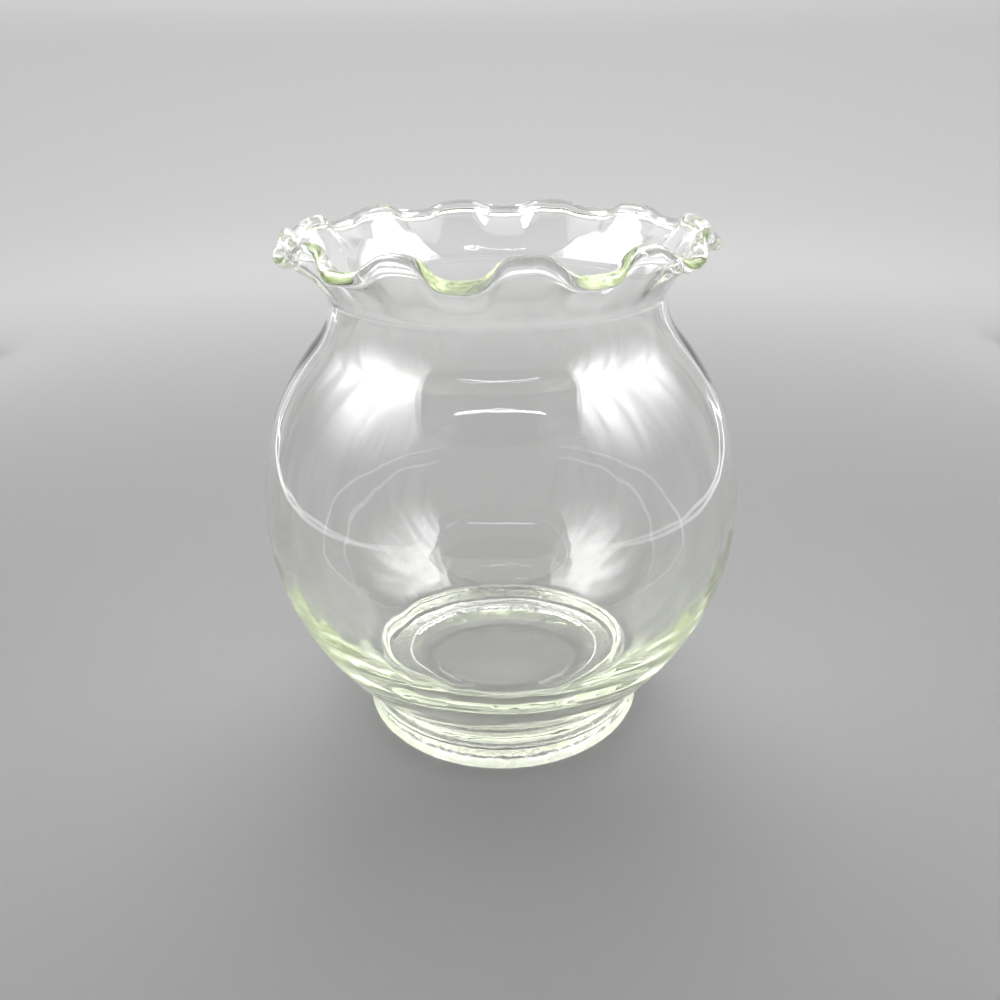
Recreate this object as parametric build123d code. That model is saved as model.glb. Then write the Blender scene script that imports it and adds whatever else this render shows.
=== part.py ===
"""Rose bowl vase: a clear glass globe on a low foot, with a crimped, flared rim.

Millimetres. +Z is up, and the origin is the centre of the foot on the table. The front faces -Y.
The glass is modelled as the zones of the vessel. Each zone is a closed solid that meets the next one
on a shared face, where the glass runs on.
"""
import math
import os

from build123d import *

# Foot ring and base disc. The ledge is how far the foot stands out from the stem, and the seat is how far
# the foot reaches in under it.
FOOT_LEDGE = 2.0
FOOT_HEIGHT = 7.0
FOOT_EDGE = 1.4
RECESS_DEPTH = 0.8
PUSH_UP = 2.2
BASE_THICKNESS = 10.7
BASE_SEAT = 5.8

# Globe: the top of its stem, its widest circle, and the angles where its bands meet
STEM_RADIUS = 36.0
STEM_HEIGHT = 9.8
BELLY_RADIUS = 60.4
BELLY_HEIGHT = 60.5
HEEL_ANGLE = -27.0
SHOULDER_ANGLE = 21.0

# Wall thickness level at the stem, at the widest circle and at the neck, and the curve from wall to floor
WALL_HEEL = 17.0
WALL_BELLY = 1.9
WALL_NECK = 1.7
FLOOR_CURVE = 12.0

# Neck and lip. The bead is the lip's fire-polished edge, and its mean circle gives the rim's size.
NECK_RADIUS = 40.0
NECK_CURVE = 16.8
RIM_RADIUS = 49.0
RIM_RISE = 12.0
BEAD_RADIUS = 1.5
LIP_CREASE = 25.0

# Crimps: a flattened wave that reaches out and drops at each fold, deeper at the front.
# The drift is the unevenness of crimping by hand.
CRIMP_COUNT = 12
CRIMP_REACH = 1.2
CRIMP_DROP = 1.55
CRIMP_DROP_FRONT = 0.5
CRIMP_FLATNESS = 1.6
CRIMP_START = 6.7
CRIMP_DRIFT = 2.75
SECTIONS_PER_CRIMP = 12


def step(start, angle, length):
    """The (r, z) point at a length from start, at an angle in radians above the horizontal."""
    return (start[0] + length * math.cos(angle), start[1] + length * math.sin(angle))


def upright_arc(widest, other):
    """Centre and radius of the arc that is upright at its widest (r, z) point and passes another."""
    rise = other[1] - widest[1]
    r = (widest[0] ** 2 - other[0] ** 2 - rise**2) / (2 * (widest[0] - other[0]))
    return (r, widest[1]), widest[0] - r


# The globe's outline is one arc from the stem, upright at the widest circle
globe_centre, globe_curve = upright_arc((BELLY_RADIUS, BELLY_HEIGHT), (STEM_RADIUS, STEM_HEIGHT))

# The neck's arc touches the globe's arc and is upright at the waist
neck_reach = NECK_RADIUS + NECK_CURVE - globe_centre[0]
neck_rise = math.sqrt((globe_curve + NECK_CURVE) ** 2 - neck_reach**2)
neck_height = BELLY_HEIGHT + neck_rise
neck_centre = (NECK_RADIUS + NECK_CURVE, neck_height)

# Angles of the joints between bands, about the centre of the globe's arc
stem_angle = math.atan2(STEM_HEIGHT - BELLY_HEIGHT, STEM_RADIUS - globe_centre[0])
heel_angle = math.radians(HEEL_ANGLE)
belly_angle = 0.0
shoulder_angle = math.radians(SHOULDER_ANGLE)
neck_angle = math.atan2(neck_rise, neck_reach)

# The cavity's outline is two arcs, upright where they meet, that leave the three wall thicknesses
belly_inside = step(globe_centre, belly_angle, globe_curve - WALL_BELLY)
lower_cavity = upright_arc(belly_inside, (STEM_RADIUS - WALL_HEEL, STEM_HEIGHT))
upper_cavity = upright_arc(belly_inside, step(globe_centre, neck_angle, globe_curve - WALL_NECK))

# The curve from wall to floor touches the cavity's arc inside and is level where the flat floor starts
floor_height = RECESS_DEPTH + BASE_THICKNESS
corner_drop = lower_cavity[0][1] - floor_height - FLOOR_CURVE
corner_reach = lower_cavity[1] - FLOOR_CURVE
corner_angle = -math.asin(corner_drop / corner_reach)
corner_centre = step(lower_cavity[0], corner_angle, corner_reach)
floor_radius = corner_centre[0]
base_radius = STEM_RADIUS - BASE_SEAT
foot_radius = STEM_RADIUS + FOOT_LEDGE


def outer_point(angle):
    """A point of the globe's outside, at an angle about the centre of its arc."""
    return step(globe_centre, angle, globe_curve)


def inner_point(cavity, angle):
    """The point of a cavity's arc straight in from outer_point."""
    centre, curve = cavity
    across = globe_centre[0] - centre[0]
    along = across * math.cos(angle)
    return step(globe_centre, angle, math.sqrt(along**2 + curve**2 - across**2) - along)


def outside_arc(low, high):
    """The globe's outline upwards between two angles."""
    return ThreePointArc(outer_point(low), outer_point((low + high) / 2), outer_point(high))


def inside_arc(cavity, top, bottom):
    """A cavity's outline downwards between two of its points."""
    centre, curve = cavity
    angles = [math.atan2(p[1] - centre[1], p[0] - centre[0]) for p in (top, bottom)]
    return ThreePointArc(top, step(centre, sum(angles) / 2, curve), bottom)


def straight(*points):
    """Straight edges from each (r, z) point to the next."""
    return [Line(a, b) for a, b in zip(points, points[1:])]


def turned(edges):
    """The solid that a closed (r, z) outline makes when it is turned about the Z axis."""
    return revolve(make_face([Plane.XZ.location * edge for edge in edges]), Axis.Z, 360)


def make_foot_ring():
    """The low ring that the vase stands on, with rounded outer edges."""
    low_in, low_out = (base_radius, 0), (foot_radius, 0)
    high_in, high_out = (base_radius, FOOT_HEIGHT), (foot_radius, FOOT_HEIGHT)
    ring = turned(straight(low_in, low_out, high_out, high_in, low_in))
    outer_edges = ring.edges().filter_by(GeomType.CIRCLE).sort_by(SortBy.RADIUS)[-2:]
    return fillet(outer_edges, FOOT_EDGE)


def make_base_disc():
    """The thick floor, pushed up underneath, with a step in its edge that the heel's toe sits on."""
    edge, middle = (base_radius, RECESS_DEPTH), (0, RECESS_DEPTH + PUSH_UP)
    dome = ThreePointArc((-base_radius, RECESS_DEPTH), middle, edge).trim(0.5, 1)
    seat, step_foot = (base_radius, FOOT_HEIGHT), (floor_radius, FOOT_HEIGHT)
    step_top, top = (floor_radius, floor_height), (0, floor_height)
    return turned([dome, *straight(edge, seat, step_foot, step_top, top, middle)])


def make_heel():
    """The lowest and thickest band of the globe, with the stem on the foot ring and the toe on the base."""
    low, high = outer_point(stem_angle), outer_point(heel_angle)
    top, toe = inner_point(lower_cavity, heel_angle), (floor_radius, floor_height)
    bend = step(corner_centre, corner_angle, FLOOR_CURVE)
    middle = step(corner_centre, (corner_angle - math.pi / 2) / 2, FLOOR_CURVE)
    inside = inside_arc(lower_cavity, top, bend), ThreePointArc(bend, middle, toe)
    seat = straight(toe, (floor_radius, FOOT_HEIGHT), (STEM_RADIUS, FOOT_HEIGHT), low)
    return turned([outside_arc(stem_angle, heel_angle), Line(high, top), *inside, *seat])


def make_globe_band(cavity, low, high):
    """A band of the globe round a cavity's arc, between two angles, cut square to its wall."""
    bottom, top = inner_point(cavity, low), inner_point(cavity, high)
    joints = Line(outer_point(high), top), Line(bottom, outer_point(low))
    return turned([outside_arc(low, high), joints[0], inside_arc(cavity, top, bottom), joints[1]])


def make_neck():
    """The band that draws the globe in to the waist, where its top is level."""
    start = math.pi + neck_angle
    angles = (start, (start + math.pi) / 2, math.pi)
    outside = [step(neck_centre, angle, NECK_CURVE) for angle in angles]
    inside = [step(neck_centre, angle, NECK_CURVE + WALL_NECK) for angle in reversed(angles)]
    joints = Line(outside[2], inside[0]), Line(inside[2], outside[0])
    return turned([ThreePointArc(*outside), joints[0], ThreePointArc(*inside), joints[1]])


def crimp_at(turn):
    """Azimuth from the front in degrees, and the bead's (r, z) centre, at a share of the way round."""
    way = 2 * math.pi * turn
    azimuth = CRIMP_START + math.degrees(way) + CRIMP_DRIFT * (1 - math.cos(way))
    wave = -math.tanh(CRIMP_FLATNESS * math.cos(CRIMP_COUNT * way)) / math.tanh(CRIMP_FLATNESS)
    drop = CRIMP_DROP + CRIMP_DROP_FRONT * math.cos(math.radians(azimuth))
    return azimuth, Vector(RIM_RADIUS + CRIMP_REACH * wave, neck_height + RIM_RISE - drop * wave)


def rim_section(turn):
    """The lip's closed outline at a share of the way round: out from the waist, round the bead and back."""
    azimuth, bead = crimp_at(turn)
    half = WALL_NECK / 2
    waist = Vector(NECK_RADIUS - half, neck_height)
    chord = bead - waist
    crease = math.radians(LIP_CREASE)
    pull = waist + Vector(math.sin(crease), math.cos(crease)) * chord.length / 2
    middle = waist / 4 + pull / 2 + bead / 4
    bulge = Vector(chord.Y, -chord.X).normalized() * half
    along = (bead - pull).normalized()
    side = Vector(along.Y, -along.X) * half
    root = bead - along * math.sqrt(BEAD_RADIUS**2 - half**2)

    def placed(point):
        return Vector(point.X, 0, point.Y).rotate(Axis.Z, azimuth - 90)

    waist_out, waist_in = placed(waist + Vector(half, 0)), placed(waist - Vector(half, 0))
    bead_out, tip, bead_in = placed(root + side), placed(bead + along * BEAD_RADIUS), placed(root - side)
    return Wire(
        [
            Spline(waist_out, placed(middle + bulge), bead_out),
            ThreePointArc(bead_out, tip, bead_in),
            Spline(bead_in, placed(middle - bulge), waist_in),
            Line(waist_in, waist_out),
        ]
    )


def make_crimped_rim():
    """The flared lip with its crimped edge, lofted one crimp at a time and joined into one ring."""
    count = CRIMP_COUNT * SECTIONS_PER_CRIMP
    sections = [rim_section(i / count) for i in range(count)] + [rim_section(0)]
    starts = range(0, count, SECTIONS_PER_CRIMP)
    crimps = [Solid.make_loft(sections[i : i + SECTIONS_PER_CRIMP + 1]) for i in starts]
    return crimps[0].fuse(*crimps[1:])


PARTS = {
    "foot_ring": make_foot_ring(),
    "base_disc": make_base_disc(),
    "heel": make_heel(),
    "lower_belly": make_globe_band(lower_cavity, heel_angle, belly_angle),
    "upper_belly": make_globe_band(upper_cavity, belly_angle, shoulder_angle),
    "shoulder": make_globe_band(upper_cavity, shoulder_angle, neck_angle),
    "neck": make_neck(),
    "crimped_rim": make_crimped_rim(),
}

os.makedirs("parts", exist_ok=True)
for name, part in PARTS.items():
    export_step(part, f"parts/{name}.step")
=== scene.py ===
"""Rose bowl vase: the looks of a clear glass globe on a low foot, with a crimped, flared rim.

Metres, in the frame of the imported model. The glass is one closed mesh that stands for all the zones.
"""
import math

import bpy
from mathutils import Matrix, Vector, noise


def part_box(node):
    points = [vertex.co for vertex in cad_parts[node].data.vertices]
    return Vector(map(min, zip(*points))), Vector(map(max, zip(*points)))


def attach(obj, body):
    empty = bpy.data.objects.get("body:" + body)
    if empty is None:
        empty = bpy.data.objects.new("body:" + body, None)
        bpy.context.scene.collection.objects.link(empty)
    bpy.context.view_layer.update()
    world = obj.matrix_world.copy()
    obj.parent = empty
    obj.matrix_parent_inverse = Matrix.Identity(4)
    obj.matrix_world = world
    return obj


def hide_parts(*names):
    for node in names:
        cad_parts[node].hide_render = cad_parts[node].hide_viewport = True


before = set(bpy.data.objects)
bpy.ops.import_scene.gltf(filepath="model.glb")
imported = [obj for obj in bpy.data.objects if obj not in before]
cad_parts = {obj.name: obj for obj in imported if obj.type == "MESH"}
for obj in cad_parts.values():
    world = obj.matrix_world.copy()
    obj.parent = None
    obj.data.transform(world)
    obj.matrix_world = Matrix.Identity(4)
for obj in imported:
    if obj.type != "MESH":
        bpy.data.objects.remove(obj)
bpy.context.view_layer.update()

# Sizes read from the frame
foot_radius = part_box("foot_ring")[1][0]
foot_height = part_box("foot_ring")[1][2]
base_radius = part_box("base_disc")[1][0]
recess_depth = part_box("base_disc")[0][2]
floor_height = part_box("base_disc")[1][2]
belly_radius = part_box("lower_belly")[1][0]
belly_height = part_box("upper_belly")[0][2]

# Sizes of the glass
PUSH_UP = 0.0022
STEM_RADIUS = 0.036
STEM_HEIGHT = 0.0098
WALL_HEEL = 0.017
WALL_BELLY = 0.0019
WALL_NECK = 0.0017
FLOOR_CURVE = 0.012
NECK_RADIUS = 0.040
NECK_CURVE = 0.0168
RIM_RADIUS = 0.049
RIM_RISE = 0.012
BEAD_RADIUS = 0.0015
LIP_CREASE = math.radians(25)

# Easing of the edges: how far from its corner each curve starts
RECESS_EASE = 0.0004
FOOT_LOW_EASE = 0.0015
FOOT_TOP_EASE = 0.0012
LEDGE_EASE = 0.0007
STEM_EASE = 0.0014
FOOT_WALL_INSET = 0.0016

# Angles past the stem where its easing aims and where the globe's rows start
STEM_AIM = 0.05
GLOBE_START = 0.03

# Crimps of the rim
CRIMP_COUNT = 12
CRIMP_REACH = 0.0012
CRIMP_DROP = 0.00155
CRIMP_DROP_FRONT = 0.0005
CRIMP_FLATNESS = 1.6
CRIMP_START = math.radians(6.7)
CRIMP_DRIFT = math.radians(2.75)

# Relief of the surface: height, and size of its grain round and up the vase
STIPPLE = (0.00025, 0.0014, 0.0014)
DIMPLE = (0.00009, 0.0018, 0.0018)
CHILL = (0.00010, 0.0050, 0.0050)
CRINKLE = (0.00022, 0.0045, 0.0020)
RIPPLE = (0.00016, 0.0300, 0.0026)
WAVER = (0.00010, 0.0250, 0.0500)
FLOW = (0.00004, 0.0060, 0.0600)

# Heights over which the dimples fade in above the table and the ripples fade out above the floor
DIMPLE_FADE = 0.002
RIPPLE_FADE = 0.022

# Columns of the mesh round the vase, and rows along each stretch of its outline
COLUMNS = 32 * CRIMP_COUNT
EDGE_ROWS = 6
SMALL_EDGE_ROWS = 4
DOME_ROWS = 14
BEARING_ROWS = 10
FOOT_ROWS = 12
GLOBE_ROWS = 48
NECK_ROWS = 12
LIP_ROWS = 12
BEAD_ROWS = 18
UPPER_ROWS = 22
LOWER_ROWS = 26
CORNER_ROWS = 10
FLOOR_ROWS = 12

# The lip's rows crowd towards the waist, and its wall turns from level there to square to its line
LIP_CROWDING = 1.5
LIP_TURN = 8

# Glass: refraction, tint, and the frosted, pitted foot
GLASS_IOR = 1.52
GLASS_TINT = (0.63, 0.8, 0.17, 1)
GLASS_TINT_DENSITY = 3.1
CLEAR_ROUGHNESS = 0.03
FROST_ROUGHNESS = (0.02, 0.25)
FROST_HEIGHTS = (0.003, 0.006)
FROST_EDGE = 0.001
PIT_STRENGTH = 0.6
PIT_DEPTH = 0.0004

# Cloudy noise: scale, detail and distortion, and the part of its range that is spread out
SMEAR_NOISE = (45, 4, 0.6)
SMEAR_SPREAD = (0.45, 0.8)
FROST_NOISE = (700, 3)
FROST_SPREAD = (0.35, 0.7)
PIT_NOISE = (1100, 2)
FOLD_NOISE = (18, 3)
FOLD_SPREAD = (0.36, 0.6)

# Studio: the cove's paint and glow, the panels' brightness, haze and spot size, and the walls' folds
FLOOR_PAINT = (0.43, 0.43, 0.43, 1)
FLOOR_ROUGHNESS = 0.8
HORIZON_GLOW = 0.28
BACK_GLOW = 0.62
WORLD_GREY = (0.2, 0.2, 0.2, 1)
WALL_BRIGHT, WALL_HAZE, WALL_SPOT = 17, 0.5, 0.38
ROOF_BRIGHT, ROOF_HAZE, ROOF_SPOT = 2.3, 1.3, 0.6
EDGE_BRIGHT = 3
STRIP_BRIGHT = 25
FOLD_STRETCH = (1, 1, 0.15)
FOLD_RANGE = (0.6, 1.25)

# Times that light may pass or bounce in the glass
GLASS_BOUNCES = 48

# The photograph's camera
CAMERA_PLACE = (-0.00019, -0.2162, 0.1593)
CAMERA_PITCH = math.radians(25.06)
CAMERA_ROLL = math.radians(0.9)
CAMERA_LENS = 32.4
CAMERA_SENSOR = 36.0
CAMERA_NEAR = 0.01


def step(start, angle, length):
    """The (r, z) point at a length from start, at an angle above the horizontal."""
    return (start[0] + length * math.cos(angle), start[1] + length * math.sin(angle))


def between(a, b, share):
    """The point at a share of the way from a to b."""
    return tuple(p + (q - p) * share for p, q in zip(a, b))


def arc(centre, radius, start, end, count):
    """Points along an arc, both ends among them."""
    return [step(centre, start + (end - start) * i / count, radius) for i in range(count + 1)]


def run(a, b, count):
    """Points along a straight run, both ends among them."""
    return [between(a, b, i / count) for i in range(count + 1)]


def rounded(corner, before, after, cut, count=EDGE_ROWS):
    """A corner eased into a curve that starts and ends at a distance from it."""
    start = between(corner, before, cut / math.dist(corner, before))
    end = between(corner, after, cut / math.dist(corner, after))
    shares = [i / count for i in range(count + 1)]
    return [between(between(start, corner, s), between(corner, end, s), s) for s in shares]


def upright_arc(widest, other):
    """Centre and radius of the arc that is upright at its widest (r, z) point and passes another."""
    rise = other[1] - widest[1]
    r = (widest[0] ** 2 - other[0] ** 2 - rise**2) / (2 * (widest[0] - other[0]))
    return (r, widest[1]), widest[0] - r


# The arcs of the globe, the neck and the cavity
globe_centre, globe_curve = upright_arc((belly_radius, belly_height), (STEM_RADIUS, STEM_HEIGHT))
neck_reach = NECK_RADIUS + NECK_CURVE - globe_centre[0]
neck_rise = math.sqrt((globe_curve + NECK_CURVE) ** 2 - neck_reach**2)
neck_height = belly_height + neck_rise
neck_centre = (NECK_RADIUS + NECK_CURVE, neck_height)
stem_angle = math.atan2(STEM_HEIGHT - belly_height, STEM_RADIUS - globe_centre[0])
neck_angle = math.atan2(neck_rise, neck_reach)
belly_inside = step(globe_centre, 0, globe_curve - WALL_BELLY)
heel_inside = (STEM_RADIUS - WALL_HEEL, STEM_HEIGHT)
neck_inside = step(globe_centre, neck_angle, globe_curve - WALL_NECK)
lower_centre, lower_curve = upright_arc(belly_inside, heel_inside)
upper_centre, upper_curve = upright_arc(belly_inside, neck_inside)

# The curve from wall to floor touches the cavity's arc and is level where the flat floor starts
corner_drop = lower_centre[1] - floor_height - FLOOR_CURVE
corner_angle = -math.asin(corner_drop / (lower_curve - FLOOR_CURVE))
corner_centre = step(lower_centre, corner_angle, lower_curve - FLOOR_CURVE)


def underside_rows():
    """The pushed-up underside, from the axis out to the recess's edge."""
    dome_curve = (base_radius**2 + PUSH_UP**2) / (2 * PUSH_UP)
    dome_centre = (0, recess_depth + PUSH_UP - dome_curve)
    dome = arc(dome_centre, dome_curve, math.pi / 2, math.acos(base_radius / dome_curve), DOME_ROWS)
    return dome[1:-1]


def bearing_rows():
    """The recess's edge and the ring that the vase stands on."""
    rim, inner, outer = (base_radius, recess_depth), (base_radius + recess_depth, 0), (foot_radius, 0)
    rim_edge = rounded(rim, (0, recess_depth), inner, RECESS_EASE, SMALL_EDGE_ROWS)
    inner_edge = rounded(inner, rim, outer, RECESS_EASE, SMALL_EDGE_ROWS)
    flat = run((inner[0] + RECESS_EASE, 0), (outer[0] - FOOT_LOW_EASE, 0), BEARING_ROWS)
    return rim_edge + inner_edge + flat[1:-1]


def foot_rows():
    """Outer edge, wall and ledge of the foot, and the stem."""
    bearing, outer, top = (base_radius, 0), (foot_radius, 0), (foot_radius, foot_height)
    stem_foot, stem_top = (STEM_RADIUS, foot_height), (STEM_RADIUS, STEM_HEIGHT)
    globe = step(globe_centre, stem_angle + STEM_AIM, globe_curve)
    wall_low, wall_high = (foot_radius, FOOT_WALL_INSET), (foot_radius, foot_height - FOOT_WALL_INSET)
    return (
        rounded(outer, bearing, top, FOOT_LOW_EASE)
        + run(wall_low, wall_high, FOOT_ROWS)
        + rounded(top, outer, stem_foot, FOOT_TOP_EASE)
        + rounded(stem_foot, top, stem_top, LEDGE_EASE)
        + rounded(stem_top, stem_foot, globe, STEM_EASE)
    )


def globe_rows():
    """The outside of the globe and the neck, from the stem up to just below the waist."""
    globe = arc(globe_centre, globe_curve, stem_angle + GLOBE_START, neck_angle, GLOBE_ROWS)
    neck = arc(neck_centre, NECK_CURVE, math.pi + neck_angle, math.pi, NECK_ROWS)
    return globe[1:] + neck[1:-1]


def cavity_rows():
    """The inside, from just below the waist down to the floor's middle."""
    neck = arc(neck_centre, NECK_CURVE + WALL_NECK, math.pi, math.pi + neck_angle, NECK_ROWS)
    top_angle = math.atan2(neck_inside[1] - upper_centre[1], neck_inside[0] - upper_centre[0])
    wall = arc(upper_centre, upper_curve, top_angle, 0, UPPER_ROWS)
    wall += arc(lower_centre, lower_curve, 0, corner_angle, LOWER_ROWS)[1:]
    corner = arc(corner_centre, FLOOR_CURVE, corner_angle, -math.pi / 2, CORNER_ROWS)
    floor = run(corner[-1], (0, floor_height), FLOOR_ROWS)
    return neck[1:] + wall[1:] + corner[1:] + floor[1:-1]


def crimp_at(turn):
    """Azimuth from the front, and the bead's (r, z) centre, at a share of the way round."""
    way = 2 * math.pi * turn
    azimuth = CRIMP_START + way + CRIMP_DRIFT * (1 - math.cos(way))
    wave = -math.tanh(CRIMP_FLATNESS * math.cos(CRIMP_COUNT * way)) / math.tanh(CRIMP_FLATNESS)
    drop = CRIMP_DROP + CRIMP_DROP_FRONT * math.cos(azimuth)
    return azimuth, Vector((RIM_RADIUS + CRIMP_REACH * wave, neck_height + RIM_RISE - drop * wave))


def lip_rows(bead):
    """The lip's outline for one bead centre: out from the waist, round the bead and back."""
    half = WALL_NECK / 2
    waist = Vector((NECK_RADIUS - half, neck_height))
    pull = waist + Vector((math.sin(LIP_CREASE), math.cos(LIP_CREASE))) * (bead - waist).length / 2
    along = (bead - pull).normalized()
    root = math.sqrt(BEAD_RADIUS**2 - half**2)
    reach = 1 - root / (2 * (bead - pull).length)
    outside, inside = [], []
    for i in range(LIP_ROWS + 1):
        share = reach * (i / LIP_ROWS) ** LIP_CROWDING
        middle = waist * (1 - share) ** 2 + pull * 2 * share * (1 - share) + bead * share**2
        slope = ((pull - waist) * (1 - share) + (bead - pull) * share).normalized()
        upright = max(0, 1 - LIP_TURN * share)
        side = Vector((slope.y, -slope.x)).lerp(Vector((1, 0)), upright).normalized() * half
        outside.append(tuple(middle + side))
        inside.append(tuple(middle - side))
    heading = math.atan2(along.y, along.x)
    turn_back = math.pi - math.asin(half / BEAD_RADIUS)
    round_bead = arc(tuple(bead), BEAD_RADIUS, heading - turn_back, heading + turn_back, BEAD_ROWS)
    return outside[:-1], round_bead, inside[-2::-1]


def grain(place, relief):
    """Height of an uneven surface at a place on the vase."""
    height, round_size, up_size = relief
    spot = Vector((place[0] / round_size, place[1] / round_size, place[2] / up_size))
    return height * noise.noise(spot)


def surface_height(zone, place):
    """How far the glass stands out from its plain outline at a place."""
    if zone == "bearing":
        return -abs(grain(place, STIPPLE))
    if zone == "foot":
        return grain(place, DIMPLE) * min(1, place[2] / DIMPLE_FADE)
    if zone == "under":
        return grain(place, CHILL)
    if zone == "bead":
        return grain(place, CRINKLE)
    if zone in ("globe", "cavity"):
        heel = max(0, 1 - (place[2] - floor_height) / RIPPLE_FADE)
        return grain(place, WAVER) + grain(place, FLOW) + heel * grain(place, RIPPLE)
    return 0


def make_glass():
    """The vase as one closed mesh: outlines turned about the axis, with the rim crimped."""
    underside, bearing, foot = underside_rows(), bearing_rows(), foot_rows()
    globe, cavity = globe_rows(), cavity_rows()
    points = []
    for j in range(COLUMNS):
        azimuth, bead = crimp_at(j / COLUMNS)
        lip_out, round_bead, lip_in = lip_rows(bead)
        zones = {"under": underside, "bearing": bearing, "foot": foot, "globe": globe, "lip": lip_out}
        zones |= {"bead": round_bead, "lip_in": lip_in, "cavity": cavity}
        outline = [(p, zone) for zone, rows in zones.items() for p in rows]
        ends = [((0, recess_depth + PUSH_UP), None)], [((0, floor_height), None)]
        padded = ends[0] + outline + ends[1]
        for before, (p, zone), after in zip(padded, outline, padded[2:]):
            run_r, run_z = after[0][0] - before[0][0], after[0][1] - before[0][1]
            place = (p[0] * math.sin(azimuth), -p[0] * math.cos(azimuth), p[1])
            rise = surface_height(zone, place) / math.hypot(run_r, run_z)
            r, z = p[0] + rise * run_z, p[1] - rise * run_r
            points.append((r * math.sin(azimuth), -r * math.cos(azimuth), z))
    rows = len(points) // COLUMNS
    bottom, floor = len(points), len(points) + 1
    points += [(0, 0, recess_depth + PUSH_UP), (0, 0, floor_height)]
    faces = []
    for j in range(COLUMNS):
        here, there = j * rows, (j + 1) % COLUMNS * rows
        faces.append((bottom, there, here))
        faces += [(here + i, there + i, there + i + 1, here + i + 1) for i in range(rows - 1)]
        faces.append((floor, here + rows - 1, there + rows - 1))
    mesh = bpy.data.meshes.new("vase_glass")
    mesh.from_pydata(points, [], faces)
    mesh.shade_smooth()
    glass = bpy.data.objects.new("vase_glass", mesh)
    bpy.context.collection.objects.link(glass)
    return glass


def new_material(name):
    """A node material with its tree, its surface shader and its output."""
    material = bpy.data.materials.new(name)
    material.use_nodes = True
    tree = material.node_tree
    return material, tree, tree.nodes["Principled BSDF"], tree.nodes["Material Output"]


def map_range(tree, value, low, high, to_low, to_high, smooth=False):
    """A node output that carries a value from one range to another."""
    node = tree.nodes.new("ShaderNodeMapRange")
    if smooth:
        node.interpolation_type = "SMOOTHSTEP"
    for name, number in (("From Min", low), ("From Max", high), ("To Min", to_low), ("To Max", to_high)):
        node.inputs[name].default_value = number
    tree.links.new(value, node.inputs["Value"])
    return node.outputs["Result"]


def math_node(tree, operation, a, b):
    """A node output for an operation on two values."""
    node = tree.nodes.new("ShaderNodeMath")
    node.operation = operation
    tree.links.new(a, node.inputs[0])
    tree.links.new(b, node.inputs[1])
    return node.outputs["Value"]


def noise_texture(tree, place, scale, detail, distortion=0.0):
    """A node output of cloudy noise over the coordinates that are given."""
    node = tree.nodes.new("ShaderNodeTexNoise")
    node.inputs["Scale"].default_value = scale
    node.inputs["Detail"].default_value = detail
    node.inputs["Distortion"].default_value = distortion
    tree.links.new(place, node.inputs["Vector"])
    return node.outputs["Fac"]


def glass_material():
    """Clear glass with a faint green tint that deepens with the thickness of the glass."""
    material, tree, surface, output = new_material("clear_glass")
    surface.inputs["Base Color"].default_value = (1, 1, 1, 1)
    surface.inputs["Transmission Weight"].default_value = 1
    surface.inputs["IOR"].default_value = GLASS_IOR
    place = tree.nodes.new("ShaderNodeTexCoord").outputs["Object"]
    split = tree.nodes.new("ShaderNodeSeparateXYZ")
    tree.links.new(place, split.inputs["Vector"])
    flat = tree.nodes.new("ShaderNodeVectorMath")
    flat.operation = "MULTIPLY"
    flat.inputs[1].default_value = (1, 1, 0)
    tree.links.new(place, flat.inputs[0])
    across = tree.nodes.new("ShaderNodeVectorMath")
    across.operation = "LENGTH"
    tree.links.new(flat.outputs["Vector"], across.inputs[0])
    ring = map_range(tree, across.outputs["Value"], base_radius - FROST_EDGE, base_radius, 0, 1)
    low = map_range(tree, split.outputs["Z"], *FROST_HEIGHTS, 1, 0)
    stippled = math_node(tree, "MULTIPLY", ring, low)
    smears = noise_texture(tree, place, *SMEAR_NOISE)
    clear = map_range(tree, smears, *SMEAR_SPREAD, 0, CLEAR_ROUGHNESS)
    frost = noise_texture(tree, place, *FROST_NOISE)
    frosted = map_range(tree, frost, *FROST_SPREAD, *FROST_ROUGHNESS)
    rough = tree.nodes.new("ShaderNodeMix")
    tree.links.new(stippled, rough.inputs["Factor"])
    tree.links.new(clear, rough.inputs["A"])
    tree.links.new(frosted, rough.inputs["B"])
    tree.links.new(rough.outputs["Result"], surface.inputs["Roughness"])
    pits = math_node(tree, "MULTIPLY", noise_texture(tree, place, *PIT_NOISE), stippled)
    bump = tree.nodes.new("ShaderNodeBump")
    bump.inputs["Strength"].default_value = PIT_STRENGTH
    bump.inputs["Distance"].default_value = PIT_DEPTH
    tree.links.new(pits, bump.inputs["Height"])
    tree.links.new(bump.outputs["Normal"], surface.inputs["Normal"])
    tint = tree.nodes.new("ShaderNodeVolumeAbsorption")
    tint.inputs["Color"].default_value = GLASS_TINT
    tint.inputs["Density"].default_value = GLASS_TINT_DENSITY
    tree.links.new(tint.outputs["Volume"], output.inputs["Volume"])
    return material


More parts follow.
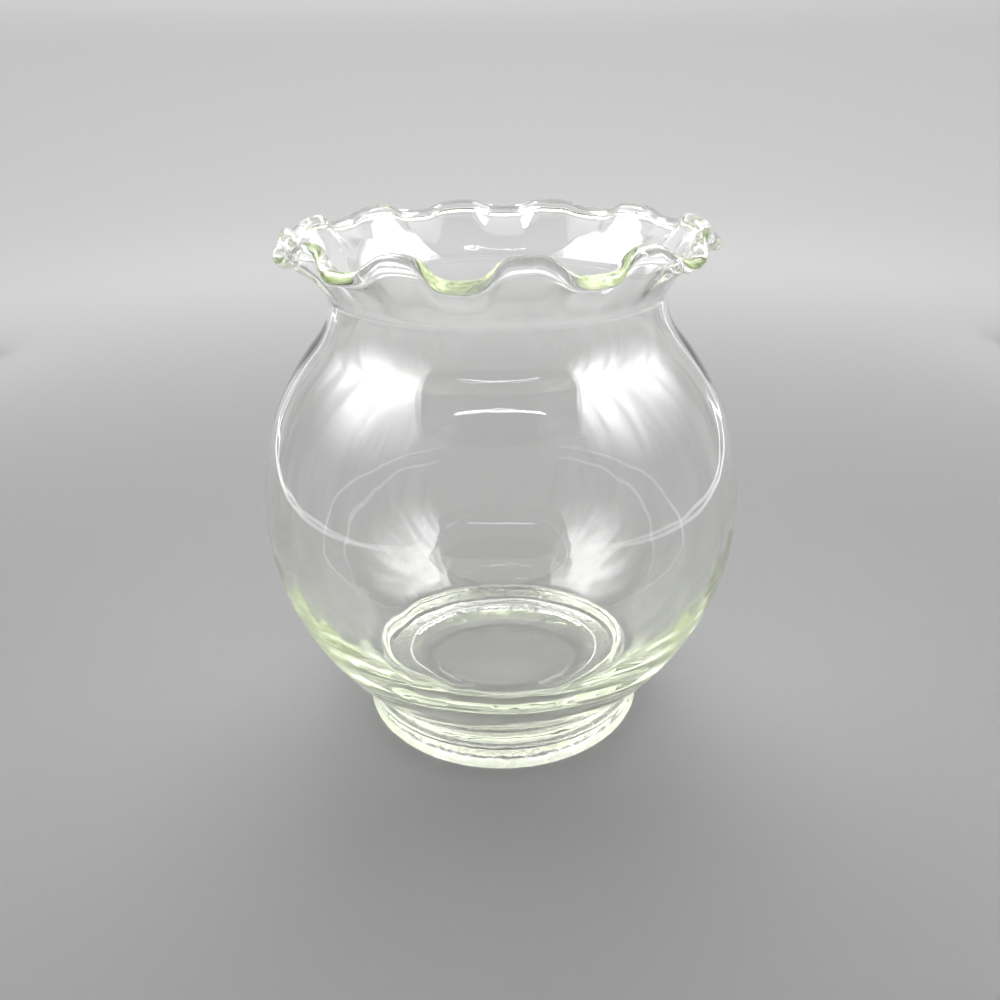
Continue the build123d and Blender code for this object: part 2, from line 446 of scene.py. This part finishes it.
def cove_paint_and_glow():
    """Plain paint with a painted glow: the cove itself glows, though it is no lamp, softly away from the
    vase and more on the wall behind it.
    """
    material, tree, surface, _ = new_material("cove_paint_and_glow")
    surface.inputs["Base Color"].default_value = FLOOR_PAINT
    surface.inputs["Roughness"].default_value = FLOOR_ROUGHNESS
    split = tree.nodes.new("ShaderNodeSeparateXYZ")
    place = tree.nodes.new("ShaderNodeTexCoord").outputs["Object"]
    tree.links.new(place, split.inputs["Vector"])
    surface.inputs["Emission Color"].default_value = (1, 1, 1, 1)
    away = tree.nodes.new("ShaderNodeVectorMath")
    away.operation = "LENGTH"
    tree.links.new(place, away.inputs[0])
    glow_start, glow_full = 0.16, 0.7
    wall_start, wall_full, back_full = 0.2, 0.5, 0.8
    # Painted glow, no lamp: emission that rises away from the vase, and up the wall behind it
    rising = map_range(tree, away.outputs["Value"], glow_start, glow_full, 0, HORIZON_GLOW, True)
    lifting = map_range(tree, split.outputs["Z"], wall_start, wall_full, 0, BACK_GLOW, True)
    behind = map_range(tree, split.outputs["Y"], 0, back_full, 0, 1, True)
    back_light = math_node(tree, "MULTIPLY", lifting, behind)
    tree.links.new(math_node(tree, "ADD", rising, back_light), surface.inputs["Emission Strength"])
    material.cycles.emission_sampling = "NONE"
    return material


def make_cove():
    """A round cove, level under the vase, that turns up into a low wall."""
    middle, floor_reach, turn_up, wall = 0.05, 0.9, 0.5, 0.7
    floor_rows, turn_rows, sides = 12, 16, 96
    outline = run((middle, 0), (floor_reach, 0), floor_rows)
    outline += arc((floor_reach, turn_up), turn_up, -math.pi / 2, 0, turn_rows)[1:]
    outline.append((floor_reach + turn_up, turn_up + wall))
    points = [(0, 0, 0)]
    for j in range(sides):
        azimuth = 2 * math.pi * j / sides
        points += [(r * math.cos(azimuth), r * math.sin(azimuth), z) for r, z in outline]
    count = len(outline)
    faces = []
    for j in range(sides):
        here, there = 1 + j * count, 1 + (j + 1) % sides * count
        faces.append((0, here, there))
        faces += [(here + i, here + i + 1, there + i + 1, there + i) for i in range(count - 1)]
    mesh = bpy.data.meshes.new("cove")
    mesh.from_pydata(points, [], faces)
    mesh.shade_smooth()
    cove = bpy.data.objects.new("cove", mesh)
    bpy.context.collection.objects.link(cove)
    mesh.materials.append(cove_paint_and_glow())
    return cove


def add_panel(name, corners, bright, spot, spot_size, haze, folds=False, lights_floor=True):
    """A glowing panel between its corners, brightest at a spot and fading to a haze away from it."""
    mesh = bpy.data.meshes.new(name)
    mesh.from_pydata(corners, [], [range(len(corners))])
    panel = bpy.data.objects.new(name, mesh)
    panel.visible_camera = False
    panel.visible_diffuse = lights_floor
    bpy.context.collection.objects.link(panel)
    material, tree, surface, output = new_material(name)
    tree.nodes.remove(surface)
    place = tree.nodes.new("ShaderNodeTexCoord").outputs["Object"]
    away = tree.nodes.new("ShaderNodeVectorMath")
    away.operation = "DISTANCE"
    away.inputs[1].default_value = spot
    tree.links.new(place, away.inputs[0])
    lamp = tree.nodes.new("ShaderNodeEmission")
    glow = map_range(tree, away.outputs["Value"], 0, spot_size, bright, haze, True)
    if folds:
        stretch = tree.nodes.new("ShaderNodeMapping")
        stretch.inputs["Scale"].default_value = FOLD_STRETCH
        tree.links.new(place, stretch.inputs["Vector"])
        cloud = noise_texture(tree, stretch.outputs["Vector"], *FOLD_NOISE)
        pleats = map_range(tree, cloud, *FOLD_SPREAD, *FOLD_RANGE, True)
        glow = math_node(tree, "MULTIPLY", glow, pleats)
    tree.links.new(glow, lamp.inputs["Strength"])
    tree.links.new(lamp.outputs["Emission"], output.inputs["Surface"])
    mesh.materials.append(material)
    return panel


def add_strip(name, corners, bright):
    """A narrow, evenly bright panel that shows in the glass and doesn't light the floor."""
    return add_panel(name, corners, bright, corners[0], 1, bright, lights_floor=False)


def level_panel(reach, front, back, height):
    """Corners of a level panel that reaches as far to the left as to the right."""
    places = (-reach, front), (reach, front), (reach, back), (-reach, back)
    return [(x, y, height) for x, y in places]


def add_lights():
    """Two side walls of soft light with brighter edges, a soft light above, a strip above the camera."""
    side, front, back, low, top, edge = 0.32, -0.48, 0.37, 0.017, 0.71, 0.008
    front_top, top_front, wall_core = 0.28, 0.05, 0.5
    roof_front, roof_back, strip_reach, strip_width = -0.13, 0.87, 0.27, 0.012
    panels = []
    for name, x in (("left", -side), ("right", side)):
        rear = [(x, back, low), (x, back, top)]
        wall = [(x, front, low), *rear, (x, top_front, top), (x, front, front_top)]
        low_edge = [(x, front, low), (x, back, low), (x, back, low - edge), (x, front, low - edge)]
        rear_edge = [*rear, (x, back + edge, top), (x, back + edge, low)]
        panels += [
            add_panel(
                f"panel_{name}", wall, WALL_BRIGHT, (x, 0, wall_core), WALL_SPOT, WALL_HAZE,
                folds=True, lights_floor=False,
            ),
            add_strip(f"low_edge_{name}", low_edge, EDGE_BRIGHT),
            add_strip(f"rear_edge_{name}", rear_edge, EDGE_BRIGHT),
        ]
    roof = level_panel(side, roof_front, roof_back, top)
    roof_core = (0, (roof_front + roof_back) / 2, top)
    panels.append(add_panel("panel_top", roof, ROOF_BRIGHT, roof_core, ROOF_SPOT, ROOF_HAZE))
    over_camera = level_panel(strip_reach, front, front + strip_width, top)
    panels.append(add_strip("strip_front", over_camera, STRIP_BRIGHT))
    return panels


def add_world():
    """Even dim light from all round."""
    world = bpy.data.worlds.new("studio")
    world.use_nodes = True
    world.node_tree.nodes["Background"].inputs["Color"].default_value = WORLD_GREY
    bpy.context.scene.world = world


def add_camera():
    """The photograph's camera, tipped down and a little to one side."""
    camera = bpy.data.objects.new("camera", bpy.data.cameras.new("camera"))
    camera.data.sensor_width = CAMERA_SENSOR
    camera.data.lens = CAMERA_LENS
    camera.data.clip_start = CAMERA_NEAR
    tip = Matrix.Rotation(math.pi / 2 - CAMERA_PITCH, 4, "X") @ Matrix.Rotation(-CAMERA_ROLL, 4, "Z")
    camera.matrix_world = Matrix.Translation(CAMERA_PLACE) @ tip
    bpy.context.collection.objects.link(camera)
    bpy.context.scene.camera = camera


glass = make_glass()
glass.data.materials.append(glass_material())
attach(glass, "root")
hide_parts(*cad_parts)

make_cove()
add_lights()
add_world()
add_camera()
bpy.context.scene.view_settings.view_transform = "Standard"
cycles = bpy.context.scene.cycles
cycles.max_bounces = cycles.glossy_bounces = cycles.transmission_bounces = GLASS_BOUNCES
